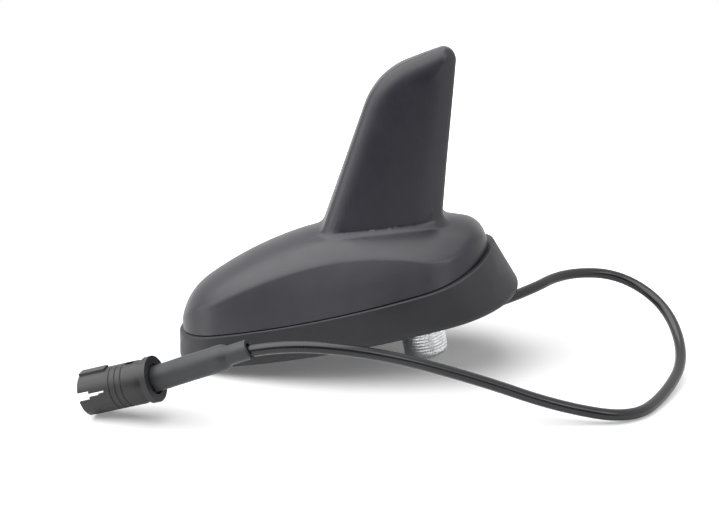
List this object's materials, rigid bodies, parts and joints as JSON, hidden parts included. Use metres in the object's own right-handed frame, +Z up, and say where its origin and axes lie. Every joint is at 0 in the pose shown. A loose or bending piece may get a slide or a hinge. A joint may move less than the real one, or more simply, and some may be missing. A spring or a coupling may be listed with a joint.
{
  "type": "shark fin aerial",
  "caption": "Car roof aerial: a raked fin on a domed cover, a rubber skirt, a threaded roof stud and a short coaxial lead with a push-fit plug.",
  "frame": {"origin": "on the axis of the roof stud, at the plane of the pad that sits on the roof", "axes": "+X to the tail of the fin, +Z up along the stud's axis away from the roof"},
  "size_m": [0.1761, 0.0915, 0.1094],
  "materials": {
    "cover": "fine satin texture",
    "skirt": "matt",
    "plate": "matt",
    "zinc": "zinc plated",
    "board": "solder mask",
    "tinplate": "satin",
    "copper": "bright",
    "holder": "natural",
    "brass": "bright",
    "sheath": "satin",
    "shrink": "matt",
    "plug": "matt",
    "insulator": "natural"
  },
  "bodies": {
    "root": {"fin_cover": "cover", "rubber_skirt": "skirt", "base_plate": "plate", "threaded_stud": "zinc", "circuit_board": "board", "shield_can": "tinplate", "radiator_board": "board", "radiator_copper": "copper", "board_holder": "holder", "feed_spring": "brass", "board_screws": "tinplate", "cover_screws": "tinplate", "cable_outlet": "skirt", "cable_terminal": "brass", "coax_cable": "sheath", "heat_shrink": "shrink", "crimp_ferrule": "tinplate", "plug_sleeve": "plug", "plug_insulator": "insulator", "shield_contact": "brass", "centre_contact": "brass"}
  },
  "joints": []
}
